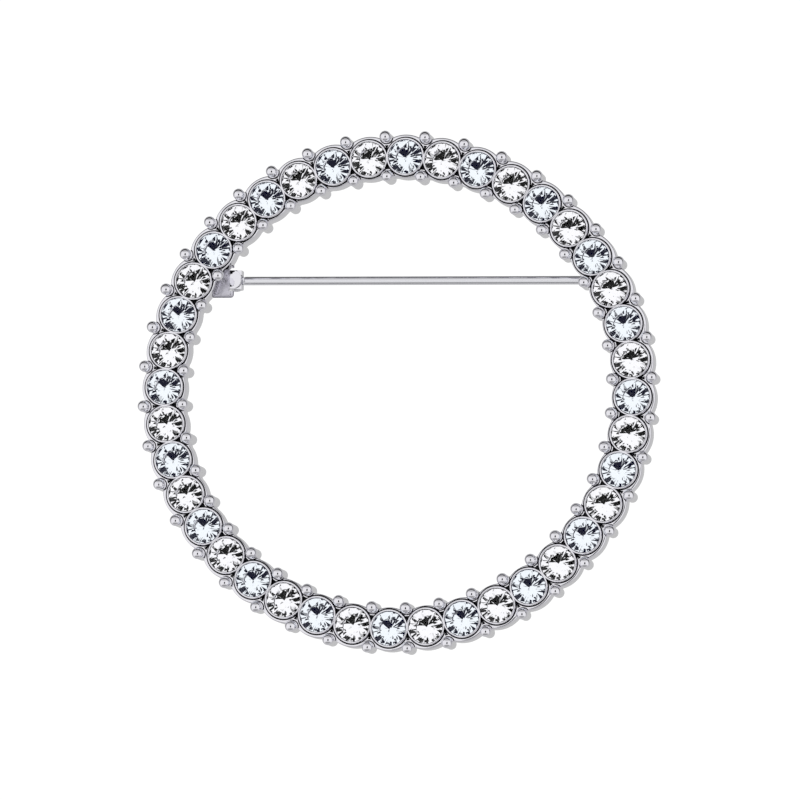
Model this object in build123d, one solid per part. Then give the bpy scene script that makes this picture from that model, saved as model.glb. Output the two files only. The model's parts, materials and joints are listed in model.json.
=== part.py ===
from build123d import *
import os
from math import atan2, cos, degrees, radians, sin, sqrt

os.makedirs("parts", exist_ok=True)

# An open circle brooch, in millimetres. It is modelled flat, with the middle of the ring at X 0, Y 0,
# the back of the ring at Z 0 and the stones facing +Z, and is laid down on its back at the end.

# Round brilliant-cut stones
stone_count = 40
first_stone_angle = 7.8  # degrees, counter-clockwise from +X
stone_diameter = 3.1
table_diameter = 1.75
crown_height = 0.45
girdle_height = 0.1
pavilion_depth = 1.3
facet_count = 8  # main facets round the crown, and as many round the pavilion
star_reach = 0.5  # where a kite's side corners lie, from the table (0) to the girdle (1)
lower_reach = 0.35  # where a pavilion main's side corners lie, from the culet (0) to the girdle (1)
alternate_turn = 11.25  # degrees that every other stone is turned in its cup

# Cast band with a cup for each stone
cup_gap = 0.03  # between a stone and its cup
stone_wall = 0.23  # metal left between two neighbouring cups
rim_thickness = 0.15  # the thin raised rim round each stone
rim_height = 0.3  # from the band's front face to the top of the rims
rim_chamfer = 0.07
girdle_below_rim = 0.03
ring_depth = 2.1  # from the band's back to its front face
band_outer_offset = 1.79  # from the circle of the stones to the band's outer edge beside a bead
band_inner_offset = 1.78  # and to its inner edge
outer_lobe_rise = 0.28  # how much further the outer edge reaches beside a stone
inner_lobe_rise = 0.16  # how much further the inner edge reaches there
lobe_radius = 2.8  # radius of these low lobes

# Ball beads on posts, one outside and one inside each gap between two stones
bead_diameter = 1.06
post_diameter = 0.98
post_height = 0.75  # from the band's front face to the middle of the bead
bead_overhang = 0.04  # from the band's edge to the middle of the beads

# Pin stem, hinge and catch
stem_line = 10.6  # height of the stem above the ring's middle
stem_diameter = 0.8
point_length = 3.4
point_diameter = 0.16
tip_past_catch = 0.3
plate_thickness = 0.45
stem_gap = 0.6  # between the plates and the stem
eye_diameter = 1.2
eye_thickness = 0.74
ear_diameter = 1.4
ear_thickness = 0.45
ear_gap = 0.04  # between the eye and each ear
neck_past_ears = 0.15  # how far the pressed neck of the stem runs out of the ears
neck_spread = 0.1  # how much taller the neck is than the wire
neck_corner = 0.15
hinge_reach = 1.05  # from the band's inner edge in to the hinge's axis
hinge_plate_width = 3.36
hinge_plate_length = 4.6
plate_corner = 0.3
relief_width = 0.22  # slits in the hinge plate beside the folded ears
relief_depth = 0.45
rivet_diameter = 0.5
rivet_gap = 0.01  # between the rivet and the ears that hold it
running_gap = 0.03  # between the rivet and the eye that turns on it
rivet_head_diameter = 0.84
rivet_head_height = 0.14
catch_length = 2.4
catch_plate_width = 2.4
catch_wall = 0.35
catch_gap = 0.1  # between the stem and the seat of the catch

# Sizes that follow
ON_BASE = (Align.CENTER, Align.CENTER, Align.MIN)
pitch_angle = 360 / stone_count
first_bead_angle = first_stone_angle - pitch_angle / 2
cup_radius = stone_diameter / 2 + cup_gap
rim_radius = cup_radius + rim_thickness
pitch_radius = (2 * cup_radius + stone_wall) / (2 * sin(radians(pitch_angle / 2)))
band_outer = pitch_radius + band_outer_offset
band_inner = pitch_radius - band_inner_offset
outer_bead_circle = band_outer + bead_overhang
inner_bead_circle = band_inner - bead_overhang
post_radius = post_diameter / 2
rim_top = ring_depth + rim_height
girdle_bottom = rim_top - girdle_below_rim - girdle_height
pavilion_bulge = pavilion_depth * lower_reach * (1 - cos(radians(180 / facet_count)))
bead_level = ring_depth + post_height

stem_radius = stem_diameter / 2
axis_level = -(plate_thickness + stem_gap + stem_radius)
ear_radius = ear_diameter / 2
hinge_x = hinge_reach - sqrt(band_inner**2 - stem_line**2)
catch_x = sqrt(pitch_radius**2 - stem_line**2)
tip_x = catch_x + catch_length / 2 + tip_past_catch
ears_width = eye_thickness + 2 * (ear_gap + ear_thickness)
finding_depth = ear_radius - axis_level
catch_seat_radius = stem_radius + catch_gap
catch_width = 2 * (catch_seat_radius + catch_wall)


def ring_places(radius, angle):
    """The places of one circle of repeats, the first at the given angle."""
    return PolarLocations(radius, stone_count, angle)


def polar(radius, angle, height):
    """The point at a radius, an angle in degrees and a height."""
    return Vector(radius * cos(radians(angle)), radius * sin(radians(angle)), height)


def brilliant():
    """A round brilliant with the bottom of its girdle at Z 0 and its table up."""
    step = 360 / facet_count
    half = step / 2
    radius = stone_diameter / 2
    table_radius = table_diameter / 2
    table_level = girdle_height + crown_height

    kite_radius = table_radius + star_reach * (radius - table_radius)
    kite_run = kite_radius * cos(radians(half)) - table_radius
    kite_level = table_level - crown_height * kite_run / (radius - table_radius)
    lower_radius = lower_reach * radius
    lower_level = pavilion_depth * (lower_radius * cos(radians(half)) / radius - 1)
    culet = Vector(0, 0, -pavilion_depth)

    def table_point(i):
        return polar(table_radius, i * step, table_level)

    def kite_point(i):
        return polar(kite_radius, i * step + half, kite_level)

    def top_point(j):
        return polar(radius, j * half, girdle_height)

    def bottom_point(j):
        return polar(radius, j * half, 0)

    def lower_point(i):
        return polar(lower_radius, i * step + half, lower_level)

    outlines = [[table_point(i) for i in range(facet_count)]]
    for i in range(facet_count):
        outlines.append([table_point(i), table_point(i + 1), kite_point(i)])
        outlines.append([table_point(i), kite_point(i - 1), top_point(2 * i), kite_point(i)])
        outlines.append([culet, lower_point(i - 1), bottom_point(2 * i), lower_point(i)])
        for j in (2 * i, 2 * i + 1):
            outlines.append([kite_point(i), top_point(j), top_point(j + 1)])
            outlines.append([lower_point(i), bottom_point(j), bottom_point(j + 1)])
            outlines.append([top_point(j), top_point(j + 1), bottom_point(j + 1), bottom_point(j)])
    facets = [Face(Wire.make_polygon(outline, close=True)) for outline in outlines]
    return Solid(Shell(facets))


def ring_body():
    """The band with a low lobe at each stone and with its posts, from the back to the front face."""
    outline = Circle(band_outer) - Circle(band_inner)
    lobe = Pos(band_outer + outer_lobe_rise - lobe_radius, 0) * Circle(lobe_radius)
    lobe &= Pos(band_inner - inner_lobe_rise + lobe_radius, 0) * Circle(lobe_radius)
    outline += ring_places(0, first_stone_angle) * lobe
    for circle in (outer_bead_circle, inner_bead_circle):
        outline += ring_places(circle, first_bead_angle) * Circle(post_radius)
    return extrude(outline, ring_depth)


def rim():
    """One raised rim, standing on the front face, before its cup is cut."""
    disc = Pos(0, 0, ring_depth) * Cylinder(rim_radius, rim_height, align=ON_BASE)
    return chamfer(disc.edges().group_by(Axis.Z)[-1], rim_chamfer)


def bead_on_post():
    """A ball on the upper part of its post."""
    post = Pos(0, 0, ring_depth) * Cylinder(post_radius, post_height, align=ON_BASE)
    return post + Pos(0, 0, bead_level) * Sphere(bead_diameter / 2)


def cup():
    """The hollow that one stone sits in: a bore above a cone, a small gap away from the stone."""
    slope = atan2(pavilion_depth, stone_diameter / 2)
    tip = girdle_bottom - pavilion_depth - pavilion_bulge - cup_gap / cos(slope)
    shoulder = tip + cup_radius * pavilion_depth / (stone_diameter / 2)
    above = rim_top + rim_height
    profile = Polyline((0, tip), (cup_radius, shoulder), (cup_radius, above), (0, above), close=True)
    return revolve(Plane.XZ * make_face(profile), Axis.Z)


def plate(length, width):
    """A rounded finding plate under the ring's back, from X 0 towards +X."""
    outline = Pos(length / 2, 0) * RectangleRounded(length, width, plate_corner)
    return extrude(outline, -plate_thickness)


def hinge():
    """The soldered part of the hinge: a plate on the ring's back, and a tongue with two folded ears."""
    base = Pos(hinge_x - hinge_plate_length, stem_line, 0) * plate(hinge_plate_length, hinge_plate_width)
    tongue = Pos(hinge_x - ear_diameter, stem_line, 0) * plate(ear_diameter + ear_radius, ears_width)
    ear = Circle(ear_radius)
    ear += Pos(0, -axis_level / 2) * Rectangle(2 * ear_radius, -axis_level)
    ear += Pos(-ear_radius, -axis_level / 2) * Rectangle(2 * ear_radius, -axis_level)
    ears_y = eye_thickness / 2 + ear_gap
    ear_block = extrude(Plane.XZ * ear, ear_thickness)
    ears = Pos(hinge_x, stem_line - ears_y, axis_level) * ear_block
    ears += Pos(hinge_x, stem_line + ears_y + ear_thickness, axis_level) * ear_block
    # The ears stop at the plate's back, so that only the plate meets the ring
    ears -= Pos(hinge_x, stem_line, 0) * Box(4 * ear_diameter, 2 * ears_width, 2 * plate_thickness)
    slits = Sketch()
    for side in (-1, 1):
        slit_y = stem_line + side * (ears_width + relief_width) / 2
        slits += Pos(hinge_x - relief_depth / 2, slit_y) * Rectangle(relief_depth, relief_width)
    base -= extrude(slits, -plate_thickness)
    hole = Pos(hinge_x, stem_line, axis_level) * Rot(90, 0, 0) * Cylinder(
        rivet_diameter / 2 + rivet_gap, 2 * ears_width
    )
    return base + tongue + ears - hole


def catch():
    """The soldered catch: a plate with a plain seat that is open to the back, where the stem swings."""
    base = Pos(catch_x - catch_length / 2, stem_line, 0) * plate(catch_length, catch_plate_width)
    seat_height = finding_depth - plate_thickness / 2
    seat = Pos(catch_x, stem_line, -finding_depth + seat_height / 2) * Box(
        catch_length - 2 * plate_corner, catch_width, seat_height
    )
    groove = Rot(0, 90, 0) * Cylinder(catch_seat_radius, 2 * catch_length)
    groove = Pos(catch_x, stem_line, axis_level) * groove
    mouth = Pos(catch_x, stem_line, axis_level - finding_depth / 2) * Box(
        2 * catch_length, 2 * catch_seat_radius, finding_depth
    )
    return base + (seat - groove - mouth)


def setting_ring():
    """The whole casting with the hinge and the catch soldered on."""
    rims = ring_places(pitch_radius, first_stone_angle) * rim()
    beads = ring_places(outer_bead_circle, first_bead_angle) * bead_on_post()
    beads += ring_places(inner_bead_circle, first_bead_angle) * bead_on_post()
    cups = ring_places(pitch_radius, first_stone_angle) * cup()
    return Part() + ring_body() + rims + beads - cups + hinge() + catch()


def pin_stem():
    """The round stem with a flat eye at the hinge and a tapered point."""
    neck_end = ear_radius + neck_past_ears
    straight = tip_x - hinge_x - point_length
    wire = Rot(0, 90, 0) * Cylinder(stem_radius, straight - neck_end, align=ON_BASE)
    point = Rot(0, 90, 0) * Cone(stem_radius, point_diameter / 2, point_length, align=ON_BASE)
    # Between the ears the wire is pressed flat, which makes it a little taller
    neck = Pos(neck_end / 2, 0, 0) * Box(neck_end, eye_thickness, stem_diameter + neck_spread)
    neck = fillet(neck.edges().filter_by(Axis.X), neck_corner)
    eye = Rot(90, 0, 0) * Cylinder(eye_diameter / 2, eye_thickness)
    hole = Rot(90, 0, 0) * Cylinder(rivet_diameter / 2 + running_gap, 2 * eye_thickness)
    stem = eye + neck + Pos(neck_end, 0, 0) * wire + Pos(straight, 0, 0) * point - hole
    return Pos(hinge_x, stem_line, axis_level) * stem


def hinge_rivet():
    """The rivet through the ears and the eye, with a low head at each side."""
    shank = Cylinder(rivet_diameter / 2, ears_width + 2 * rivet_gap)
    heads = Part()
    for side in (-1, 1):
        heads += Pos(0, 0, side * (ears_width / 2 + rivet_gap + rivet_head_height / 2)) * Cylinder(
            rivet_head_diameter / 2, rivet_head_height
        )
    return Pos(hinge_x, stem_line, axis_level) * Rot(90, 0, 0) * (shank + heads)


def rest_tilt():
    """The angle that the brooch takes when it lies on its hinge, its catch and the ring's lower edge."""
    post_angles = [first_bead_angle + i * pitch_angle for i in range(stone_count)]
    lowest_post = min(outer_bead_circle * sin(radians(angle)) for angle in post_angles) - post_radius
    hinge_foot = stem_line - ears_width / 2
    return degrees(atan2(finding_depth, hinge_foot - lowest_post))


def flat_nodes():
    """Every piece by name, with the ring level."""
    nodes = {"setting_ring": setting_ring(), "pin_stem": pin_stem(), "hinge_rivet": hinge_rivet()}
    stone = brilliant()
    for i, place in enumerate(ring_places(pitch_radius, first_stone_angle)):
        turn = alternate_turn * (i % 2) - first_stone_angle - i * pitch_angle
        nodes[f"stone_{i + 1:02d}"] = place * Pos(0, 0, girdle_bottom) * Rot(0, 0, turn) * stone
    return nodes


def rest_place(nodes):
    """The place that lays the level pieces down, with the middle of their underside at the origin."""
    tilt = Rot(rest_tilt(), 0, 0)
    box = Compound(children=[Part() + tilt * shape for shape in nodes.values()]).bounding_box()
    return Pos(-box.center().X, -box.center().Y, -box.min.Z) * tilt


pieces = flat_nodes()
laid = rest_place(pieces)
for name, shape in pieces.items():
    export_step(laid * shape, f"parts/{name}.step")
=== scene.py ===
"""Models and finishes an open circle brooch that hangs a pair of glasses by one temple."""

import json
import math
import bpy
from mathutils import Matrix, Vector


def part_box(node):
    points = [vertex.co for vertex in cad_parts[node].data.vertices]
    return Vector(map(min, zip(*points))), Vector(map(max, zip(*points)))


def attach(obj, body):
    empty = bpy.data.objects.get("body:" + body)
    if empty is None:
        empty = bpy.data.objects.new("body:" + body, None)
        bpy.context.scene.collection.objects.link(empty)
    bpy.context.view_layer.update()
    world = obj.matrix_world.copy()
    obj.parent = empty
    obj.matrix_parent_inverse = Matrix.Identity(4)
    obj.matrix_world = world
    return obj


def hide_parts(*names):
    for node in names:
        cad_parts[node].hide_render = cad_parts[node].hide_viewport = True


bl_info = {
    "name": "Circle Brooch",
    "version": (1, 0, 0),
    "blender": (4, 5, 0),
    "location": "View3D > Sidebar > Brooch",
    "description": "Models the cast ring, stones, pin stem and rivet of an open circle brooch",
    "category": "Add Mesh",
}

import bpy
from bpy.props import FloatProperty, FloatVectorProperty, IntProperty, PointerProperty
from mathutils import Matrix, Vector

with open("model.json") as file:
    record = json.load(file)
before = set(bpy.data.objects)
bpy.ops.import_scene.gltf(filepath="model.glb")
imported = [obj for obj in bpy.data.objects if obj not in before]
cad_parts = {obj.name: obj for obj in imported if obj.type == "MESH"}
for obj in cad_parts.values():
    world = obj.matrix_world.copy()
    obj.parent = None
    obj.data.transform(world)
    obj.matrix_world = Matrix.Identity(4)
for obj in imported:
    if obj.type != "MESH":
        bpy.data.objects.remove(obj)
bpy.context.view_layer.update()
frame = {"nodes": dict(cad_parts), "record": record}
MM = 0.001

# Places that the frame gives
RECORD = frame["record"]
MOUNTS = {mount["name"]: mount for mount in RECORD["mounts"]}
HINGE = RECORD["behaviour"]["joints"][0]
STONES = sorted(name for name in frame["nodes"] if name.startswith("stone_"))
RING_NORMAL = Vector(MOUNTS["temple_ring"]["axis"])
RIM_CENTRE = Vector(MOUNTS["temple_ring"]["pos_m"])
REST_TILT = math.atan2(-RING_NORMAL.y, RING_NORMAL.z)

# The photograph's width, the middle of the rims in it and the radius of the stones' circle, in pixels
PHOTO_WIDTH, RING_PIXEL, STONES_CIRCLE_PIXELS = 800, (396.9, 391.6), 237.08

# Material slots of the ring: polished metal, the recesses with their painted shade, and the sheet of the
# hinge and the catch
POLISH, RECESS_SHADE, SHEET = range(3)

# The light in multiples of white: the tent round the metal, its grey top and the ground under it, and the
# tent and its dark gap as the stones see them
METAL_TENT, METAL_UPPER, GROUND = 1.15, 0.7, 0.65
STONE_TENT, STONE_GAP = 1.35, 0.2
# The share of the light that is left at the foot of the metal's tent, and in the gap above the ground
METAL_LOWER, METAL_GAP = 0.4, 0.04
# Where each of these starts and ends, as how far a direction goes along one way
UPPER_FADE, LOWER_FADE = (0.45, 0.75), (0.55, 0.85)
GAP_FADE, GROUND_FADE = (-0.15, 0.08), (0.05, 0.5)
STONE_GAP_FADE = (-0.4, -0.1)
# How far the tent leans towards the brooch's lower edge, as metal and stones see it
METAL_LEAN, STONE_LEAN = 0.45, 0.25
# Dark cards, in degrees: right of the camera, above it, and the radius; and the soft edge of them all
METAL_CARDS = ((2, 1, 12), (0, -16, 14))
STONE_CARDS = ((-3, -21, 24), (69, 5, 16), (-52, -12, 16), (4, 30, 8))
CARD_EDGE = 1.5

# The floor, in metres: it lies below the reach of the stem, which opens downwards
FLOOR_SIZE, FLOOR_LEVEL = 4, -0.045
FLOOR_GLOW, FLOOR_ROUGHNESS = 0.95, 0.6

# Steps round the turned shapes of the ring: the band, its lobes, cups and rims, collars, and beads
BAND_STEPS, LOBE_STEPS, RIM_STEPS, COLLAR_STEPS, BEAD_STEPS = 240, 96, 56, 32, 24
# And of the findings: the ears and the eye, the rivet and the catch's seat, the wire and the holes
EAR_STEPS, RIVET_STEPS, WIRE_STEPS = 48, 40, 32
# Steps of a quarter turn: a bead, plates' corners, rivet heads, plain corners, lips and tips, fine edges
BALL_STEPS, CORNER_STEPS, DOME_STEPS, QUARTER_STEPS, LIP_STEPS, EDGE_STEPS = 10, 8, 6, 4, 3, 2
# How far a cutting tool reaches out of the metal, and how far a groove's tool runs under its rim
TOOL_ABOVE, TOOL_UNDER = 0.1 * MM, 0.04 * MM
# A pit's width at its bottom, as a share of its width at the top
PIT_TAPER = 0.8
# How far apart an edge's ends are along its way at least, and across it at most
LONG_EDGE, LEVEL_EDGE = 0.1 * MM, 0.01 * MM
# Points this close are one after a spin, after the facets are cut, and on a facet's plane
SPUN_MERGE, FACET_MERGE, FACET_REACH = 0.0005 * MM, 0.002 * MM, 0.0001 * MM
# A facet whose normal points down by more than this has foil behind it, and the blue-white stones' foil has
# a little painted blue glow
FOIL_SLOPE, PAINTED_BLUE_GLOW = 0.05, 0.012


def linear(hex_colour):
    """An sRGB hex colour as linear red, green, blue and alpha."""
    values = [int(hex_colour[i:i + 2], 16) / 255 for i in (1, 3, 5)]
    return [v / 12.92 if v <= 0.04045 else ((v + 0.055) / 1.055) ** 2.4 for v in values] + [1.0]


def length(name, millimetres, description):
    """A length that the sidebar shows, given in millimetres."""
    return FloatProperty(name=name, description=description, default=millimetres * MM, unit="LENGTH",
                         precision=5)


def colour(name, hex_colour, description):
    """A colour that the sidebar shows, given as sRGB hex."""
    return FloatVectorProperty(name=name, description=description, default=linear(hex_colour), size=4,
                               min=0, max=1, subtype="COLOR")


class CastingSizes(bpy.types.PropertyGroup):
    """Sizes of the cast ring, which is modelled level with its back at Z 0."""

    ring_depth: length("Ring Depth", 2.1, "Back of the ring to its front face")
    band_outer: length("Band Outside", 1.79, "Stones' circle to the outer edge beside a bead")
    band_inner: length("Band Inside", 1.78, "Stones' circle to the inner edge beside a bead")
    outer_lobe_rise: length("Outer Lobe Rise", 0.28, "How much further out the edge reaches at a stone")
    inner_lobe_rise: length("Inner Lobe Rise", 0.16, "How much further in the edge reaches at a stone")
    lobe_radius: length("Lobe Radius", 2.8, "Radius of the low lobe beside a stone")
    front_edge: length("Front Edge", 0.16, "Rounding of the front face's edge")
    back_edge: length("Back Edge", 0.06, "Rounding of the back's edge")
    rim_height: length("Rim Height", 0.3, "Front face to the top of the rims")
    rim_thickness: length("Rim Thickness", 0.15, "Thickness of the rim round a stone")
    rim_flare: length("Rim Flare", 0.06, "How much thicker a rim is at its foot")
    cup_gap: length("Cup Gap", 0.03, "Space between a stone and its cup")
    valley_width: length("Valley Width", 0.07, "Groove that the graver leaves round a rim")
    valley_depth: length("Valley Depth", 0.12, "Depth of that groove")
    pit_depth: length("Pit Depth", 0.3, "Depth of the pits between the rims and a bead")
    pit_apex: length("Pit Apex", 0.6, "Stones' circle to the pits' pointed ends")
    pit_reach: length("Pit Reach", 1.12, "Stones' circle to the pits' wide ends")
    pit_width: length("Pit Width", 0.34, "Width of the pits' wide ends")
    bead_diameter: length("Bead Diameter", 1.06, "Diameter of a ball bead")
    post_diameter: length("Post Diameter", 0.98, "Diameter of the post under a bead")
    post_height: length("Post Height", 0.75, "Front face to the middle of a bead")
    bead_overhang: length("Bead Overhang", 0.04, "Band's edge to the middle of the beads")
    collar_diameter: length("Collar Diameter", 1.1, "Low step that a bead's post stands on")
    collar_height: length("Collar Height", 0.05, "Height of that step")
    collar_line: length("Collar Line", 0.09, "Width and depth of the graver's line round that step")


class StoneSizes(bpy.types.PropertyGroup):
    """Sizes and cut of the round stones."""

    diameter: length("Diameter", 3.1, "Across the corners of the girdle")
    table: length("Table", 1.75, "Across the corners of the table")
    crown: length("Crown", 0.45, "Height from the girdle to the table")
    girdle: length("Girdle", 0.1, "Height of the girdle")
    pavilion: length("Pavilion", 1.3, "Depth from the girdle to the culet")
    below_rim: length("Below Rim", 0.03, "Top of the girdle under the top of the rim")
    facets: IntProperty(name="Main Facets", description="Main facets round the crown", default=8)
    star_reach: FloatProperty(name="Star Reach", default=0.8, subtype="FACTOR",
                              description="Kites' side corners, from the table to the girdle")
    clear_lower: FloatProperty(name="Clear Lower Reach", default=0.2, subtype="FACTOR",
                               description="Clear stones' pavilion mains, from culet to girdle")
    clear_turn: FloatProperty(name="Clear Turn", description="Turn of the clear stones in their cups",
                              default=math.radians(33.75), subtype="ANGLE")
    blue_lower: FloatProperty(name="Blue Lower Reach", default=0.12, subtype="FACTOR",
                              description="Blue-white stones' pavilion mains, from culet to girdle")
    blue_turn: FloatProperty(name="Blue Turn", description="Turn of the blue-white stones in their cups",
                             default=math.radians(11.25), subtype="ANGLE")


class FindingSizes(bpy.types.PropertyGroup):
    """Sizes of the hinge, the pin stem and the catch behind the ring."""

    plate_thickness: length("Plate Thickness", 0.45, "Thickness of the soldered plates")
    plate_corner: length("Plate Corner", 0.3, "Rounding of the plates' corners")
    plate_edge: length("Plate Edge", 0.05, "Rounding of the plates' faces")
    tongue_corner: length("Tongue Corner", 0.75, "Rounding of the tongue's end over the stem's eye")
    hinge_plate_length: length("Hinge Plate Length", 4.6, "Hinge's axis to the plate's far end")
    hinge_plate_width: length("Hinge Plate Width", 3.36, "Width of the hinge plate")
    relief_width: length("Relief Width", 0.22, "Slits beside the folded ears")
    relief_depth: length("Relief Depth", 0.45, "Depth of those slits")
    ear_diameter: length("Ear Diameter", 1.4, "Diameter of the ears round the rivet")
    ear_thickness: length("Ear Thickness", 0.45, "Thickness of an ear")
    ear_gap: length("Ear Gap", 0.04, "Space between the stem's eye and an ear")
    eye_diameter: length("Eye Diameter", 1.2, "Diameter of the stem's flat eye")
    eye_thickness: length("Eye Thickness", 0.74, "Thickness of the eye")
    neck_past_ears: length("Neck Past Ears", 0.15, "How far the pressed neck runs out of the ears")
    neck_spread: length("Neck Spread", 0.1, "How much taller the neck is than the wire")
    neck_corner: length("Neck Corner", 0.15, "Rounding of the neck's long edges")
    point_length: length("Point Length", 3.4, "Length of the stem's taper")
    point_diameter: length("Point Diameter", 0.16, "Diameter of the stem at its very end")
    rivet_diameter: length("Rivet Diameter", 0.5, "Diameter of the rivet's shank")
    rivet_gap: length("Rivet Gap", 0.01, "Space between the rivet and the ears")
    running_gap: length("Running Gap", 0.03, "Space between the rivet and the eye")
    rivet_head_diameter: length("Rivet Head", 0.84, "Diameter of the rivet's heads")
    rivet_head_height: length("Rivet Head Height", 0.14, "Height of the rivet's heads")
    catch_length: length("Catch Length", 2.4, "Length of the catch's plate")
    catch_plate_width: length("Catch Plate Width", 2.4, "Width of the catch's plate")
    catch_wall: length("Catch Wall", 0.35, "Thickness of the seat's walls")
    catch_gap: length("Catch Gap", 0.1, "Space between the stem and its seat")
    tip_past_catch: length("Tip Past Catch", 0.3, "How far the point runs past the catch's plate")
    sharp_edge: FloatProperty(name="Sharp Edge", default=math.radians(35), subtype="ANGLE",
                              description="Polished edges that turn more than this stay sharp")


class FinishColours(bpy.types.PropertyGroup):
    """Colours of the metals, the glass and the foils."""

    plating: colour("Plating", "#EEEDF3", "Polished plate on the casting")
    # The recess colour is painted shade: near black in the pits, grooves and collar lines.
    recess_shade: colour("Recess", "#2C2C32", "Unpolished skin in the pits and grooves")
    sheet: colour("Sheet", "#D8D6E0", "Rolled sheet of the hinge and the catch")
    wire: colour("Wire", "#E6E6EB", "Plated wire of the stem and the rivet")
    clear_glass: colour("Clear Glass", "#FFFFFF", "Glass of the clear stones")
    clear_foil: colour("Clear Foil", "#FAFAFC", "Foil behind the clear stones")
    blue_glass: colour("Blue Glass", "#FBFDFE", "Glass of the blue-white stones")
    blue_foil: colour("Blue Foil", "#F8FAFC", "Foil behind the blue-white stones")
    # This colour is painted light: a faint blue glow in the dark facets of the blue-white stones, standing
    # in for their blue tint.
    blue_glow: colour("Lacquer", "#2430C8", "Lacquer on the foil of the blue-white stones")


class StageSettings(bpy.types.PropertyGroup):
    """The photographer's angle and distance."""

    tilt: FloatProperty(name="Tilt", description="Camera off the ring's axis",
                        default=math.radians(10.2), subtype="ANGLE")
    roll: FloatProperty(name="Roll", default=math.radians(31.5), subtype="ANGLE",
                        description="Way of that tilt, from the right towards the lower edge")
    distance: FloatProperty(name="Distance", description="Camera to the brooch", default=0.65,
                            unit="LENGTH")


def ring_place():
    """The matrix from the level ring to where it lies."""
    casting = bpy.context.scene.brooch_casting
    rim_top = casting.ring_depth + casting.rim_height
    lie = Matrix.Translation(RIM_CENTRE) @ Matrix.Rotation(REST_TILT, 4, "X")
    return lie @ Matrix.Translation((0, 0, -rim_top))


def level(point):
    """A point of the frame as seen from the level ring."""
    return ring_place().inverted() @ Vector(point)


def add_node(tree, kind, settings=None, inputs=None, links=None):
    """A new node with its settings, input values and links from other nodes' outputs."""
    node = tree.nodes.new(kind)
    for key, value in (settings or {}).items():
        setattr(node, key, value)
    for key, value in (inputs or {}).items():
        node.inputs[key].default_value = value
    for key, source in (links or {}).items():
        tree.links.new(source, node.inputs[key])
    return node


def new_material(name, inputs):
    """A material with one Principled shader, its tree and the shader."""
    material = bpy.data.materials.new(name)
    material.use_nodes = True
    shader = next(node for node in material.node_tree.nodes if node.type == "BSDF_PRINCIPLED")
    for key, value in inputs.items():
        shader.inputs[key].default_value = value
    return material, material.node_tree, shader


def bumpy_metal(name, tint, metallic, roughness, grain, detail, strength, height, stretch=1.0):
    """A metal whose bumpy skin has its grain and height in millimetres, and may be drawn out along X."""
    material, tree, shader = new_material(
        name, {"Base Color": tint, "Metallic": metallic, "Roughness": roughness}
    )
    place = add_node(tree, "ShaderNodeTexCoord")
    stretched = add_node(
        tree, "ShaderNodeMapping", {}, {"Scale": (stretch, 1.0, 1.0)}, {"Vector": place.outputs["Object"]}
    )
    skin = add_node(
        tree, "ShaderNodeTexNoise", {}, {"Scale": 1 / (grain * MM), "Detail": detail},
        {"Vector": stretched.outputs["Vector"]},
    )
    bump = add_node(
        tree, "ShaderNodeBump", {}, {"Strength": strength, "Distance": height * MM},
        {"Height": skin.outputs["Fac"]},
    )
    tree.links.new(bump.outputs["Normal"], shader.inputs["Normal"])
    return material


def rhodium_plate(name, colours):
    """Rhodium plate on a polished casting: a bright cool mirror, a little wavy from the cast skin."""
    return bumpy_metal(name, colours.plating, 1.0, 0.04, grain=0.55, detail=2.0, strength=0.35,
                       height=0.03)


def painted_recess_shade(name, colours):
    """Matt metal in the pits and grooves, whose near-black colour is painted shade."""
    return bumpy_metal(name, colours.recess_shade, 0.7, 0.5, grain=0.06, detail=3.0, strength=0.4,
                       height=0.01)


def rolled_sheet(name, colours):
    """Rolled sheet, plated but not polished, as hinge plates are: soft grey with faint rolling lines."""
    return bumpy_metal(name, colours.sheet, 1.0, 0.3, grain=0.12, detail=3.0, strength=0.3,
                       height=0.01, stretch=0.05)


def drawn_wire():
    """Plated spring steel wire: polished along its length, with faint drawing lines."""
    wire = bpy.context.scene.brooch_colours.wire
    return bumpy_metal("plated_spring_wire", wire, 1.0, 0.1, grain=0.05, detail=2.0, strength=0.12,
                       height=0.004, stretch=0.02)


def ring_finishes():
    """The finishes of the ring's polished metal, its recesses and its soldered sheet, each made once."""
    makers = {"rhodium_plated_casting": rhodium_plate, "painted_shade_in_recesses": painted_recess_shade,
              "satin_rolled_sheet": rolled_sheet}
    colours = bpy.context.scene.brooch_colours
    return [bpy.data.materials.get(name) or make(name, colours) for name, make in makers.items()]


def crystal(name, tint):
    """Lead-like crystal glass: clear, with a high index so that the facets throw light, and little gloss."""
    return new_material(
        name,
        {"Base Color": tint, "Roughness": 0.0, "IOR": 1.56, "Transmission Weight": 1.0,
         "Specular Tint": (0.3, 0.3, 0.3, 1.0)},
    )[0]


def foil(name, tint, glow):
    """The silver foil behind a glued stone: a mirror on each back facet, with a painted blue glow of the
    given strength.
    """
    return new_material(
        name,
        {"Base Color": tint, "Metallic": 1.0, "Roughness": 0.0,
         "Emission Color": bpy.context.scene.brooch_colours.blue_glow, "Emission Strength": glow},
    )[0]


def only(*objects):
    """These objects alone are selected, and the first is active."""
    bpy.ops.object.select_all(action="DESELECT")
    for obj in objects:
        obj.select_set(True)
    bpy.context.view_layer.objects.active = objects[0]


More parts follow.
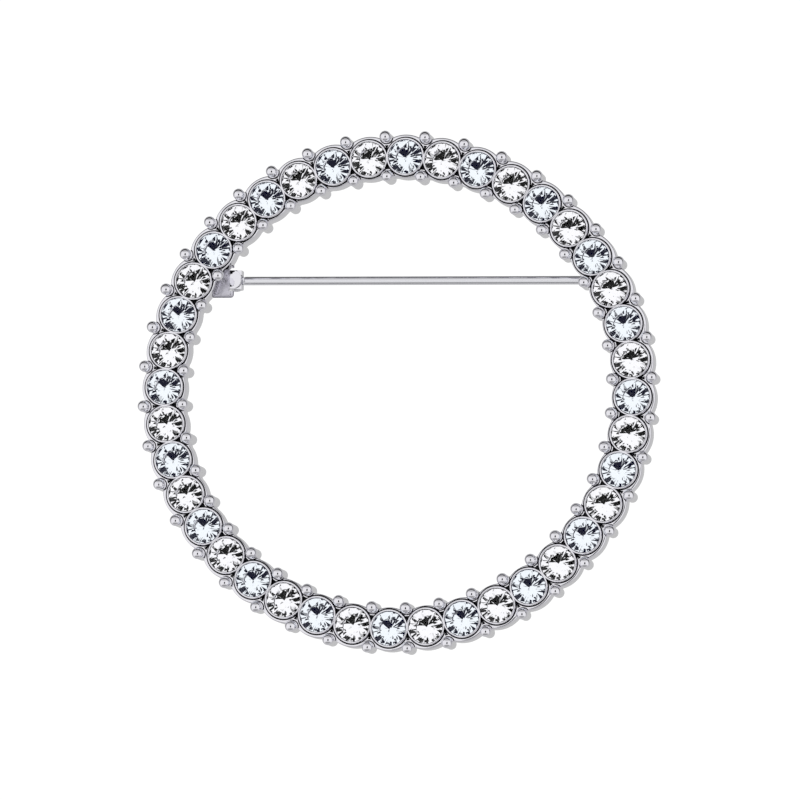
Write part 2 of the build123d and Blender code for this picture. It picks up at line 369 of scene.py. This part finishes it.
def lathe(name, profile, steps):
    """A closed turned piece about the Z axis: one vertex is drawn along the profile, and that is spun."""
    bpy.ops.object.select_all(action="DESELECT")
    bpy.ops.mesh.primitive_plane_add(size=MM)
    piece = bpy.context.object
    piece.name = name
    bpy.ops.object.mode_set(mode="EDIT")
    bpy.ops.mesh.select_mode(type="VERT")
    bpy.ops.mesh.select_all(action="SELECT")
    bpy.ops.mesh.merge(type="CENTER")
    last = Vector((0, 0, 0))
    for i, (x, z) in enumerate(profile):
        step = Vector((x, 0, z)) - last
        last = Vector((x, 0, z))
        if i == 0:
            bpy.ops.transform.translate(value=step)
        else:
            bpy.ops.mesh.extrude_region_move(TRANSFORM_OT_translate={"value": step})
    bpy.ops.mesh.select_all(action="SELECT")
    bpy.ops.mesh.spin(steps=steps, angle=math.tau, center=(0, 0, 0), axis=(0, 0, 1))
    bpy.ops.mesh.select_all(action="SELECT")
    bpy.ops.mesh.remove_doubles(threshold=SPUN_MERGE)
    bpy.ops.mesh.normals_make_consistent(inside=False)
    bpy.ops.object.mode_set(mode="OBJECT")
    return piece


def block(name, low, high):
    """A box between two corners."""
    bpy.ops.object.select_all(action="DESELECT")
    low, high = Vector(low), Vector(high)
    bpy.ops.mesh.primitive_cube_add(size=1, location=(low + high) / 2)
    piece = bpy.context.object
    piece.name = name
    piece.scale = high - low
    bpy.ops.object.transform_apply(location=True, rotation=True, scale=True)
    return piece


def round_edges(piece, radius, segments, chosen):
    """Rounds the edges whose two ends the given test accepts."""
    only(piece)
    mesh = piece.data
    for edge in mesh.edges:
        ends = [mesh.vertices[i].co for i in edge.vertices]
        edge.select = chosen(*ends)
    for vertex in mesh.vertices:
        vertex.select = False
    for face in mesh.polygons:
        face.select = False
    bpy.ops.object.mode_set(mode="EDIT")
    bpy.ops.mesh.select_mode(type="EDGE")
    bpy.ops.mesh.bevel(offset=radius, segments=segments, affect="EDGES")
    bpy.ops.object.mode_set(mode="OBJECT")


def plate(name, start, end, middle, width, corner):
    """A rounded plate under the ring's back, between two places along X."""
    finding = bpy.context.scene.brooch_finding
    low = (start, middle - width / 2, -finding.plate_thickness)
    piece = block(name, low, (end, middle + width / 2, 0))
    round_edges(piece, corner, CORNER_STEPS, lambda a, b: abs(a.z - b.z) > LONG_EDGE)
    round_edges(piece, finding.plate_edge, EDGE_STEPS, lambda a, b: abs(a.z - b.z) < LEVEL_EDGE)
    return piece


def turn_and_move(piece, matrix):
    """Puts a piece in its place, with the place in its mesh."""
    only(piece)
    piece.matrix_world = matrix
    bpy.ops.object.transform_apply(location=True, rotation=True, scale=True)
    return piece


def joined(name, pieces):
    """Pieces that stay clear of each other, as one object."""
    only(*pieces)
    bpy.ops.object.join()
    whole = bpy.context.object
    whole.name = name
    return whole


def copies(piece, places):
    """A copy of a piece, each with its own mesh, at each place; the piece itself goes."""
    made = []
    for i, place in enumerate(places):
        copy = bpy.data.objects.new(f"{piece.name}_{i:02d}", piece.data.copy())
        bpy.context.collection.objects.link(copy)
        made.append(turn_and_move(copy, place))
    bpy.data.objects.remove(piece)
    return made


def combine(whole, tool, operation):
    """Unites a tool with a piece, cuts it out of the piece or keeps what both share; the tool goes."""
    only(whole)
    modifier = whole.modifiers.new("combine", "BOOLEAN")
    modifier.operation = operation
    modifier.solver = "MANIFOLD"
    modifier.object = tool
    bpy.ops.object.modifier_apply(modifier=modifier.name)
    bpy.data.objects.remove(tool)
    return whole


def combine_all(whole, piece, places, operation):
    """Combines a copy of a piece at each place, every other one first, so that no two copies touch."""
    made = copies(piece, places)
    for part in (made[0::2], made[1::2]):
        combine(whole, joined(f"{whole.name}_tool", part), operation)


def plated(piece, finish_slot):
    """Gives a piece the ring's material slots, and all its faces one of them."""
    piece.data.materials.clear()
    for material in ring_finishes():
        piece.data.materials.append(material)
    for face in piece.data.polygons:
        face.material_index = finish_slot
    return piece


def stone_centres():
    """The stones' places on the level ring, in order."""
    return [level(sum(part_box(name), Vector()) / 2) for name in STONES]


def stone_angles():
    """The angle of each stone round the ring."""
    return [math.atan2(centre.y, centre.x) for centre in stone_centres()]


def pitch_radius():
    """The radius of the circle that the stones stand on."""
    centres = stone_centres()
    return sum(math.hypot(centre.x, centre.y) for centre in centres) / len(centres)


def ring_places(radius, angles):
    """Places round the ring, each turned to face outwards along its own X."""
    return [Matrix.Rotation(angle, 4, "Z") @ Matrix.Translation((radius, 0, 0)) for angle in angles]


def arc(centre, radius, start, end, steps, height=None):
    """Points of an arc of a profile between two angles in degrees; a height makes it lower or taller."""
    x, z = centre
    rise = height or radius
    angles = [math.radians(start + (end - start) * i / steps) for i in range(steps + 1)]
    return [(x + radius * math.cos(angle), z + rise * math.sin(angle)) for angle in angles]


def rounded(corner, radius, start, steps=QUARTER_STEPS):
    """The points of a rounded convex corner of a profile, a quarter turn from an angle in degrees."""
    return arc(corner, radius, start, start + 90, steps)


def rod(name, radius, reach, steps):
    """A plain rod about the Z axis, which reaches as far up as down."""
    return lathe(name, [(0, -reach), (radius, -reach), (radius, reach), (0, reach)], steps)


def disc(name, radius, half, edge):
    """A flat disc about the Z axis with rounded edges, half its thickness above and half below."""
    side = ([(0, -half)] + rounded((radius - edge, edge - half), edge, -90, EDGE_STEPS)
            + rounded((radius - edge, half - edge), edge, 0, EDGE_STEPS) + [(0, half)])
    return lathe(name, side, EAR_STEPS)


def finish(piece, name, body, materials, node):
    """Lays a level piece in its place, with its finish and its body, and hides the solid that it replaces.
    """
    turn_and_move(piece, ring_place())
    piece.name = name
    piece.data.name = name
    while len(piece.data.materials) < len(materials):
        piece.data.materials.append(None)
    for i, material in enumerate(materials):
        piece.data.materials[i] = material
    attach(piece, body)
    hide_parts(node)


def band(casting, radius, angles):
    """The ring's band with a low lobe at each stone and a rounded front edge."""
    depth, edge, foot = casting.ring_depth, casting.front_edge, casting.back_edge
    outer, inner = radius + casting.band_outer, radius - casting.band_inner
    profile = (rounded((outer - foot, foot), foot, -90, EDGE_STEPS)
               + rounded((outer - edge, depth - edge), edge, 0)
               + rounded((inner + edge, depth - edge), edge, 90)
               + rounded((inner + foot, foot), foot, 180, EDGE_STEPS))
    ring = lathe("setting_ring", profile + profile[:1], BAND_STEPS)

    size = casting.lobe_radius
    side = ([(0, 0)] + rounded((size - foot, foot), foot, -90, EDGE_STEPS)
            + rounded((size - edge, depth - edge), edge, 0) + [(0, depth)])
    reach_out = casting.band_outer + casting.outer_lobe_rise - size
    reach_in = size - casting.band_inner - casting.inner_lobe_rise
    lobe = turn_and_move(lathe("lobe", side, LOBE_STEPS), Matrix.Translation((reach_out, 0, 0)))
    other = turn_and_move(lathe("lobe_inside", side, LOBE_STEPS), Matrix.Translation((reach_in, 0, 0)))
    combine(lobe, other, "INTERSECT")
    combine_all(ring, lobe, ring_places(radius, angles), "UNION")
    return ring


def cut_recesses(ring, casting, radius, angles, rim_foot):
    """Cuts the groove round each rim and the pits between two rims and a bead; their faces take the painted
    shade.
    """
    depth = casting.ring_depth
    plated(ring, POLISH)
    inside, outside = rim_foot - TOOL_UNDER, rim_foot + casting.valley_width
    bottom = depth - casting.valley_depth
    above = depth + TOOL_ABOVE
    groove = lathe("groove", [(inside, above), (inside, bottom), (rim_foot, bottom), (outside, depth),
                              (outside, above), (inside, above)], RIM_STEPS)
    combine_all(ring, plated(groove, RECESS_SHADE), ring_places(radius, angles), "DIFFERENCE")

    half_pitch = math.pi / len(angles)
    pit_angles = [angle - half_pitch for angle in angles]
    for side in (-1, 1):
        bpy.ops.object.select_all(action="DESELECT")
        bpy.ops.mesh.primitive_cone_add(
            vertices=3, radius1=PIT_TAPER * MM, radius2=MM, depth=casting.pit_depth + TOOL_ABOVE,
            location=(0, 0, depth + (TOOL_ABOVE - casting.pit_depth) / 2),
        )
        pit = bpy.context.object
        pit.name = "pit"
        bpy.ops.object.transform_apply(location=True, rotation=True, scale=True)
        corners = [vertex.co for vertex in pit.data.vertices]
        tallest = max(corner.y for corner in corners) - min(corner.y for corner in corners)
        widest = max(corner.x for corner in corners) - min(corner.x for corner in corners)
        low = min(corner.y for corner in corners)
        length_of_pit = casting.pit_reach - casting.pit_apex
        place = (Matrix.Rotation(side * math.pi / 2, 4, "Z")
                 @ Matrix.Diagonal((casting.pit_width / widest, length_of_pit / tallest, 1, 1))
                 @ Matrix.Translation((0, -low, 0)))
        turn_and_move(pit, Matrix.Translation((side * casting.pit_reach, 0, 0)) @ place)
        combine_all(ring, plated(pit, RECESS_SHADE), ring_places(radius, pit_angles), "DIFFERENCE")


def ball_bead(casting):
    """A ball bead on its post, which runs down to the ring's back."""
    bead_radius = casting.bead_diameter / 2
    post_radius = casting.post_diameter / 2
    foot = casting.back_edge
    middle = casting.ring_depth + casting.post_height
    start = -math.degrees(math.acos(post_radius / bead_radius))
    ball = arc((0, middle), bead_radius, start, 90, BALL_STEPS)[:-1]
    side = [(0, 0)] + rounded((post_radius - foot, foot), foot, -90, EDGE_STEPS)
    return lathe("bead_on_post", side + ball + [(0, middle + bead_radius)], BEAD_STEPS)


def collars(casting, radius, places):
    """The low steps round the beads' posts, only as far as the band reaches."""
    size, top = casting.collar_diameter / 2, casting.ring_depth + casting.collar_height
    edge = casting.back_edge
    bottom = casting.ring_depth - casting.collar_height
    step = lathe("collar", [(0, bottom), (size, bottom)]
                 + rounded((size - edge, top - edge), edge, 0, LIP_STEPS) + [(0, top)], COLLAR_STEPS)
    outer, inner = radius + casting.band_outer - edge, radius - casting.band_inner + edge
    hoop = lathe("hoop", [(inner, 0), (outer, 0), (outer, 2 * top), (inner, 2 * top), (inner, 0)],
                 BAND_STEPS)
    return combine(joined("collars", copies(step, places)), hoop, "INTERSECT")


def cut_collar_lines(ring, casting, places):
    """Cuts the fine line that the graver leaves round each collar; its faces take the painted shade."""
    inside, depth = casting.collar_diameter / 2, casting.ring_depth
    outside, bottom = inside + casting.collar_line, depth - casting.collar_line
    above = depth + casting.collar_height
    line = lathe("collar_line", [(inside, bottom), (outside, depth), (outside, above), (inside, above),
                                 (inside, bottom)], COLLAR_STEPS)
    combine_all(ring, plated(line, RECESS_SHADE), places, "DIFFERENCE")


def cut_cups(ring, casting, stone, radius, angles):
    """Cuts each cup: a cone under a bore with a softly rounded lip."""
    bore = stone.diameter / 2 + casting.cup_gap
    rim_top = casting.ring_depth + casting.rim_height
    lip = casting.rim_thickness / 3
    slope = stone.pavilion / (stone.diameter / 2)
    tip = rim_top - stone.below_rim - stone.girdle - stone.pavilion - 3 * casting.cup_gap
    cup = lathe("cup", [(0, tip), (bore, tip + bore * slope)]
                + arc((bore + lip, rim_top - lip), lip, 180, 90, LIP_STEPS)
                + [(bore + lip, rim_top + lip), (0, rim_top + lip)], RIM_STEPS)
    combine_all(ring, plated(cup, POLISH), ring_places(radius, angles), "DIFFERENCE")


class BROOCH_OT_casting(bpy.types.Operator):
    """Model the cast ring: a lobed band with cups, rims, pits and ball beads on posts"""

    bl_idname = "brooch.casting"
    bl_label = "Cast Ring"

    def execute(self, context):
        casting = context.scene.brooch_casting
        stone = context.scene.brooch_stone
        radius = pitch_radius()
        angles = stone_angles()
        half_pitch = math.pi / len(angles)
        rim_radius = stone.diameter / 2 + casting.cup_gap + casting.rim_thickness
        rim_foot = rim_radius + casting.rim_flare
        ring = band(casting, radius, angles)
        cut_recesses(ring, casting, radius, angles, rim_foot)

        gap_angles = [angle - half_pitch for angle in angles]
        places = (ring_places(radius + casting.band_outer + casting.bead_overhang, gap_angles)
                  + ring_places(radius - casting.band_inner - casting.bead_overhang, gap_angles))
        combine(ring, plated(collars(casting, radius, places), POLISH), "UNION")
        cut_collar_lines(ring, casting, places)
        combine(ring, plated(joined("beads", copies(ball_bead(casting), places)), POLISH), "UNION")

        lip = casting.rim_thickness / 3
        rim_top = casting.ring_depth + casting.rim_height
        bottom = casting.ring_depth - 2 * casting.rim_height
        rim = lathe("rim", [(0, bottom), (rim_foot, bottom), (rim_foot, casting.ring_depth)]
                    + rounded((rim_radius - lip, rim_top - lip), lip, 0, LIP_STEPS) + [(0, rim_top)],
                    RIM_STEPS)
        combine_all(ring, plated(rim, POLISH), ring_places(radius, angles), "UNION")
        cut_cups(ring, casting, stone, radius, angles)
        finish(ring, "setting_ring_cast", "brooch", ring_finishes(), "setting_ring")
        return {"FINISHED"}


def solder(piece):
    """Lays a level finding behind the ring and makes it one solid with the casting."""
    ring = bpy.data.objects["setting_ring_cast"]
    turn_and_move(piece, ring_place())
    combine(ring, piece, "UNION")


def hinge_axis():
    """A point of the hinge's axis, on the level ring."""
    return level(HINGE["pos_m"])


def ears_width(finding):
    """Across both ears, outside to outside."""
    return finding.eye_thickness + 2 * (finding.ear_gap + finding.ear_thickness)


def across(piece, place):
    """Turns a piece that was spun about Z so that its axis runs along Y, and moves it."""
    return turn_and_move(piece, Matrix.Translation(place) @ Matrix.Rotation(math.pi / 2, 4, "X"))


def along(piece, place):
    """Turns a piece that was spun about Z so that its axis runs along X, and moves it."""
    return turn_and_move(piece, Matrix.Translation(place) @ Matrix.Rotation(math.pi / 2, 4, "Y"))


class BROOCH_OT_hinge(bpy.types.Operator):
    """Solder the hinge on: a plate with two slits, its tongue and the two folded ears"""

    bl_idname = "brooch.hinge"
    bl_label = "Hinge"

    def execute(self, context):
        finding = context.scene.brooch_finding
        axis = hinge_axis()
        width = ears_width(finding)
        ear_radius = finding.ear_diameter / 2
        hinge = plate("hinge", axis.x - finding.hinge_plate_length, axis.x, axis.y,
                      finding.hinge_plate_width, finding.plate_corner)
        plated(hinge, SHEET)
        for side in (-1, 1):
            near = axis.y + side * width / 2
            far = near + side * finding.relief_width
            low = (axis.x - finding.relief_depth, min(near, far), -2 * finding.plate_thickness)
            high = (axis.x + finding.relief_depth, max(near, far), finding.plate_thickness)
            slit = block("slit", low, high)
            combine(hinge, plated(slit, SHEET), "DIFFERENCE")
        tongue = plate("tongue", axis.x - 2 * finding.ear_diameter, axis.x + ear_radius, axis.y, width,
                       finding.tongue_corner)
        combine(hinge, plated(tongue, POLISH), "UNION")

        edge = finding.plate_edge
        half = finding.ear_thickness / 2
        sunk = finding.plate_thickness / 2
        for side in (-1, 1):
            middle = Vector((axis.x, axis.y + side * (width - finding.ear_thickness) / 2, axis.z))
            ear = across(disc("ear", ear_radius, half, edge), middle)
            combine(ear, block("ear_root", (axis.x - finding.ear_diameter, middle.y - half, axis.z),
                               (axis.x + ear_radius, middle.y + half, -sunk)), "UNION")
            combine(hinge, plated(ear, POLISH), "UNION")
        drill = finding.rivet_diameter / 2 + finding.rivet_gap
        hole = across(rod("hole", drill, width, WIRE_STEPS), axis)
        combine(hinge, plated(hole, POLISH), "DIFFERENCE")
        solder(hinge)
        return {"FINISHED"}


class BROOCH_OT_catch(bpy.types.Operator):
    """Solder the catch on: a plate with a seat that is open to the back"""

    bl_idname = "brooch.catch"
    bl_label = "Catch"

    def execute(self, context):
        finding = context.scene.brooch_finding
        axis = hinge_axis()
        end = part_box("pin_stem")[1].x - finding.tip_past_catch
        start = end - finding.catch_length
        seat_radius = MOUNTS["pin_stem"]["dims"]["r_mm"] * MM + finding.catch_gap
        half = seat_radius + finding.catch_wall
        catch = plate("catch", start, end, axis.y, finding.catch_plate_width, finding.plate_corner)
        plated(catch, SHEET)
        low = axis.z - finding.ear_diameter / 2
        seat = block("seat", (start + finding.plate_corner, axis.y - half, low),
                     (end - finding.plate_corner, axis.y + half, -finding.plate_thickness / 2))
        round_edges(seat, finding.plate_edge, EDGE_STEPS,
                    lambda a, b: max(a.z, b.z) < -finding.plate_thickness)
        groove = rod("groove", seat_radius, finding.catch_length, RIVET_STEPS)
        along(groove, (end - finding.catch_length / 2, axis.y, axis.z))
        combine(groove, block("mouth", (start - finding.plate_corner, axis.y - seat_radius, 2 * low),
                              (end + finding.plate_corner, axis.y + seat_radius, axis.z)), "UNION")
        combine(seat, groove, "DIFFERENCE")
        combine(catch, plated(seat, SHEET), "UNION")
        solder(catch)
        return {"FINISHED"}


class BROOCH_OT_stem(bpy.types.Operator):
    """Draw the pin stem: a flat eye, a pressed neck, round wire and a ground point"""

    bl_idname = "brooch.stem"
    bl_label = "Pin Stem"

    def execute(self, context):
        finding = context.scene.brooch_finding
        axis = hinge_axis()
        wire = MOUNTS["pin_stem"]["dims"]["r_mm"] * MM
        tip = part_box("pin_stem")[1].x - axis.x
        neck_end = finding.ear_diameter / 2 + finding.neck_past_ears
        point = finding.point_diameter / 2
        start = tip - finding.point_length
        side = ([(0, neck_end), (wire, neck_end), (wire, start)]
                + arc((0, tip - point), point, 0, 90, LIP_STEPS)[:-1] + [(0, tip)])
        stem = along(lathe("pin_stem_drawn", side, WIRE_STEPS), (0, 0, 0))

        half = finding.eye_thickness / 2
        tall = wire + finding.neck_spread / 2
        neck = block("neck", (0, -half, -tall), (neck_end, half, tall))
        round_edges(neck, finding.neck_corner, QUARTER_STEPS, lambda a, b: abs(a.x - b.x) > LONG_EDGE)
        combine(stem, neck, "UNION")
        edge = finding.plate_edge
        radius = finding.eye_diameter / 2
        combine(stem, across(disc("eye", radius, half, edge), (0, 0, 0)), "UNION")
        drill = finding.rivet_diameter / 2 + finding.running_gap
        combine(stem, across(rod("hole", drill, 2 * half, WIRE_STEPS), (0, 0, 0)), "DIFFERENCE")
        turn_and_move(stem, Matrix.Translation(axis))
        finish(stem, "pin_stem_drawn", "pin", [drawn_wire()], "pin_stem")
        return {"FINISHED"}


class BROOCH_OT_rivet(bpy.types.Operator):
    """Set the rivet through the ears and the eye, with a low domed head at each side"""

    bl_idname = "brooch.rivet"
    bl_label = "Rivet"

    def execute(self, context):
        finding = context.scene.brooch_finding
        shank, head = finding.rivet_diameter / 2, finding.rivet_head_diameter / 2
        seat = ears_width(finding) / 2 + finding.rivet_gap
        dome = arc((0, seat), head, 0, 90, DOME_STEPS, finding.rivet_head_height)[:-1]
        upper = [(shank, seat)] + dome + [(0, seat + finding.rivet_head_height)]
        lower = [(x, -z) for x, z in reversed(upper)]
        rivet = across(lathe("hinge_rivet", lower + upper, RIVET_STEPS), hinge_axis())
        finish(rivet, "hinge_rivet_set", "brooch", [drawn_wire()], "hinge_rivet")
        return {"FINISHED"}


class BROOCH_OT_polish(bpy.types.Operator):
    """Smooth the metal pieces: large faces stay flat, and sharp edges stay sharp"""

    bl_idname = "brooch.polish"
    bl_label = "Polish"

    def execute(self, context):
        for name in ("setting_ring_cast", "pin_stem_drawn", "hinge_rivet_set"):
            piece = bpy.data.objects[name]
            only(piece)
            bpy.ops.object.shade_smooth_by_angle(angle=context.scene.brooch_finding.sharp_edge)
            modifier = piece.modifiers.new("flat_faces", "WEIGHTED_NORMAL")
            modifier.keep_sharp = True
            bpy.ops.object.modifier_apply(modifier=modifier.name)
        return {"FINISHED"}


def facet_planes(stone, lower_reach):
    """Every facet plane of a round brilliant, as a point and an outward normal."""
    radius, table = stone.diameter / 2, stone.table / 2
    top = stone.girdle + stone.crown
    half = math.pi / stone.facets
    kite = table + stone.star_reach * (radius - table)
    kite_level = top - stone.crown * (kite * math.cos(half) - table) / (radius - table)
    lower = lower_reach * radius
    lower_level = stone.pavilion * (lower * math.cos(half) / radius - 1)

    def point(r, angle, z):
        return Vector((r * math.cos(angle), r * math.sin(angle), z))

    def through(a, b, c):
        normal = (b - a).cross(c - a).normalized()
        return a, normal if normal.dot(a - Vector((0, 0, stone.girdle / 2))) > 0 else -normal

    planes = []
    for i in range(stone.facets):
        main, side = 2 * half * i, 2 * half * i + half
        edge = point(1, main + math.pi / 2, 0)
        corner = point(radius, main, stone.girdle)
        planes.append(through(corner, corner + edge * MM, point(table, main, top)))
        corner = point(radius, main, 0)
        planes.append(through(corner, corner + edge * MM, point(0, 0, -stone.pavilion)))
        planes.append(through(point(table, main, top), point(table, main + 2 * half, top),
                              point(kite, side, kite_level)))
        for start in (main, side):
            planes.append(through(point(kite, side, kite_level), point(radius, start, stone.girdle),
                                  point(radius, start + half, stone.girdle)))
            planes.append(through(point(lower, side, lower_level), point(radius, start, 0),
                                  point(radius, start + half, 0)))
    return planes


def cut_stone(stone, name, lower_reach):
    """Cuts one brilliant from a rod, with its culet down."""
    height = stone.pavilion + stone.girdle + stone.crown
    bpy.ops.object.select_all(action="DESELECT")
    bpy.ops.mesh.primitive_cylinder_add(
        vertices=2 * stone.facets, radius=stone.diameter / 2, depth=height,
        location=(0, 0, height / 2 - stone.pavilion), end_fill_type="NGON",
    )
    rough = bpy.context.object
    rough.name = name
    turn_and_move(rough, Matrix.Translation(rough.location))
    bpy.ops.object.mode_set(mode="EDIT")
    for place, normal in facet_planes(stone, lower_reach):
        bpy.ops.mesh.select_all(action="SELECT")
        bpy.ops.mesh.bisect(plane_co=place, plane_no=normal, use_fill=True, clear_outer=True,
                            threshold=FACET_REACH)
    bpy.ops.mesh.select_all(action="SELECT")
    bpy.ops.mesh.remove_doubles(threshold=FACET_MERGE)
    bpy.ops.mesh.normals_make_consistent(inside=False)
    bpy.ops.object.mode_set(mode="OBJECT")
    return rough


class BROOCH_OT_stones(bpy.types.Operator):
    """Cut a clear and a blue-white brilliant and set copies of them in the cups by turns"""

    bl_idname = "brooch.stones"
    bl_label = "Stones"

    def execute(self, context):
        stone = context.scene.brooch_stone
        casting = context.scene.brooch_casting
        seat = casting.ring_depth + casting.rim_height - stone.below_rim - stone.girdle
        colours = context.scene.brooch_colours
        clear_foil = foil("clear_foil", colours.clear_foil, 0.0)
        blue_foil = foil("blue_white_foil", colours.blue_foil, PAINTED_BLUE_GLOW)
        kinds = (
            ("clear", stone.clear_lower, stone.clear_turn, colours.clear_glass, clear_foil),
            ("blue_white", stone.blue_lower, stone.blue_turn, colours.blue_glass, blue_foil),
        )
        centres = stone_centres()
        for first, (kind, lower_reach, turn, glass, silver) in enumerate(kinds):
            places = [Matrix.Translation((centre.x, centre.y, seat)) @ Matrix.Rotation(turn, 4, "Z")
                      for centre in centres[first::2]]
            materials = [crystal(f"{kind}_crystal", glass), silver]
            cut = cut_stone(stone, f"{kind}_brilliant", lower_reach)
            for material in materials:
                cut.data.materials.append(material)
            for face in cut.data.polygons:
                face.material_index = 1 if face.normal.z < -FOIL_SLOPE else 0
            for name, made in zip(STONES[first::2], copies(cut, places)):
                finish(made, f"{name}_cut", "brooch", materials, name)
        return {"FINISHED"}


def light_along(tree, place, way, span, low, high, light=None):
    """A light that goes softly from low to high towards one way, or that share of a light that is given."""
    along_way = add_node(
        tree, "ShaderNodeVectorMath", {"operation": "DOT_PRODUCT"}, {1: way.normalized()}, {0: place}
    )
    share = add_node(
        tree, "ShaderNodeMapRange", {"interpolation_type": "SMOOTHSTEP"},
        {"From Min": span[0], "From Max": span[1], "To Min": low, "To Max": high},
        {"Value": along_way.outputs["Value"]},
    ).outputs["Result"]
    if light is None:
        return share
    dimmed = add_node(tree, "ShaderNodeMath", {"operation": "MULTIPLY"}, {}, {0: light, 1: share})
    return dimmed.outputs["Value"]


def dark_cards(tree, place, light, frame_axes, cards):
    """Puts round dark cards before a light, each some degrees to the right of and above the camera."""
    right, up, back = frame_axes
    for across_angle, above_angle, radius in cards:
        turn = math.radians(math.hypot(across_angle, above_angle))
        way = (right * across_angle + up * above_angle).normalized()
        middle = back * math.cos(turn) + way * math.sin(turn)
        span = [math.cos(math.radians(radius + soft)) for soft in (CARD_EDGE, -CARD_EDGE)]
        light = light_along(tree, place, middle, span, 1.0, 0.0, light)
    return light


def studio_light(scene, right, up, back):
    """A white tent, greyer at top and foot, over a dark gap and a grey ground, with dark cards in it."""
    world = bpy.data.worlds.new("studio")
    scene.world = world
    world.use_nodes = True
    tree = world.node_tree
    tree.nodes.clear()
    place = add_node(tree, "ShaderNodeTexCoord").outputs["Generated"]
    tent = light_along(tree, place, up, UPPER_FADE, METAL_TENT, METAL_UPPER)
    tent = light_along(tree, place, -up, LOWER_FADE, 1.0, METAL_LOWER, tent)
    tent = light_along(tree, place, Vector((0, -METAL_LEAN, 1)), GAP_FADE, METAL_GAP, 1.0, tent)
    ground = light_along(tree, place, Vector((0, 0, -1)), GROUND_FADE, 0.0, GROUND)
    both = add_node(tree, "ShaderNodeMath", {"operation": "ADD"}, {}, {0: tent, 1: ground})
    metal = dark_cards(tree, place, both.outputs["Value"], (right, up, back), METAL_CARDS)
    stones = light_along(tree, place, Vector((0, -STONE_LEAN, 1)), STONE_GAP_FADE, STONE_GAP, STONE_TENT)
    stones = dark_cards(tree, place, stones, (right, up, back), STONE_CARDS)
    ray = add_node(tree, "ShaderNodeLightPath").outputs["Is Transmission Ray"]
    strength = add_node(tree, "ShaderNodeMix", {"data_type": "FLOAT"}, {}, {0: ray, 2: metal, 3: stones})
    light = add_node(tree, "ShaderNodeBackground", {}, {}, {"Strength": strength.outputs[0]})
    add_node(tree, "ShaderNodeOutputWorld", {}, {}, {"Surface": light.outputs["Background"]})


class BROOCH_OT_stage(bpy.types.Operator):
    """Set the floor, the soft light and the camera"""

    bl_idname = "brooch.stage"
    bl_label = "Stage"

    def execute(self, context):
        scene = context.scene
        stage = scene.brooch_stage
        bpy.ops.object.select_all(action="DESELECT")
        bpy.ops.mesh.primitive_plane_add(size=FLOOR_SIZE, location=(0, 0, FLOOR_LEVEL))
        floor = context.object
        floor.name = "floor"
        floor.data.materials.append(new_material(
            "white_floor",
            {"Base Color": linear("#606062"), "Roughness": FLOOR_ROUGHNESS,
             "Emission Color": linear("#FFFFFF"), "Emission Strength": FLOOR_GLOW},
        )[0])
        floor.visible_glossy = False
        scene.view_settings.view_transform = "Standard"

        side = Vector((1, 0, 0))
        up_ring = RING_NORMAL.cross(side)
        tip = side * math.cos(stage.roll) - up_ring * math.sin(stage.roll)
        back = (RING_NORMAL * math.cos(stage.tilt) + tip * math.sin(stage.tilt)).normalized()
        right = (side - back * side.dot(back)).normalized()
        up = back.cross(right)
        pixel = pitch_radius() / STONES_CIRCLE_PIXELS
        beside, below = (PHOTO_WIDTH / 2 - place for place in RING_PIXEL)
        aim = RIM_CENTRE + (right * beside - up * below) * pixel
        camera_data = bpy.data.cameras.new("camera")
        camera_data.lens = camera_data.sensor_width * stage.distance / (PHOTO_WIDTH * pixel)
        camera_data.clip_start = stage.distance / 10
        camera = bpy.data.objects.new("camera", camera_data)
        context.collection.objects.link(camera)
        turn = Matrix((right, up, back)).transposed().to_4x4()
        camera.matrix_world = Matrix.Translation(aim + back * stage.distance) @ turn
        scene.camera = camera
        studio_light(scene, right, up, back)
        return {"FINISHED"}


STEPS = (BROOCH_OT_stage, BROOCH_OT_casting, BROOCH_OT_hinge, BROOCH_OT_catch, BROOCH_OT_stones,
         BROOCH_OT_stem, BROOCH_OT_rivet, BROOCH_OT_polish)
GROUPS = {"brooch_casting": CastingSizes, "brooch_stone": StoneSizes, "brooch_finding": FindingSizes,
          "brooch_colours": FinishColours, "brooch_stage": StageSettings}


class BROOCH_PT_sidebar(bpy.types.Panel):
    """Lists the brooch's steps and sizes in the sidebar"""

    bl_idname = "BROOCH_PT_sidebar"
    bl_label = "Circle Brooch"
    bl_space_type = "VIEW_3D"
    bl_region_type = "UI"
    bl_category = "Brooch"

    def draw(self, context):
        for step in STEPS:
            self.layout.operator(step.bl_idname)
        for name in GROUPS:
            group = getattr(context.scene, name)
            box = self.layout.box()
            for key in group.__annotations__:
                box.prop(group, key)


def register():
    for cls in (*GROUPS.values(), *STEPS, BROOCH_PT_sidebar):
        bpy.utils.register_class(cls)
    for name, group in GROUPS.items():
        setattr(bpy.types.Scene, name, PointerProperty(type=group))


def unregister():
    for name in GROUPS:
        delattr(bpy.types.Scene, name)
    for cls in reversed((*GROUPS.values(), *STEPS, BROOCH_PT_sidebar)):
        bpy.utils.unregister_class(cls)


def main():
    register()
    bpy.ops.brooch.stage()
    bpy.ops.brooch.casting()
    bpy.ops.brooch.hinge()
    bpy.ops.brooch.catch()
    bpy.ops.brooch.stones()
    bpy.ops.brooch.stem()
    bpy.ops.brooch.rivet()
    bpy.ops.brooch.polish()
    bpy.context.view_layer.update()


if __name__ == "__main__":
    main()
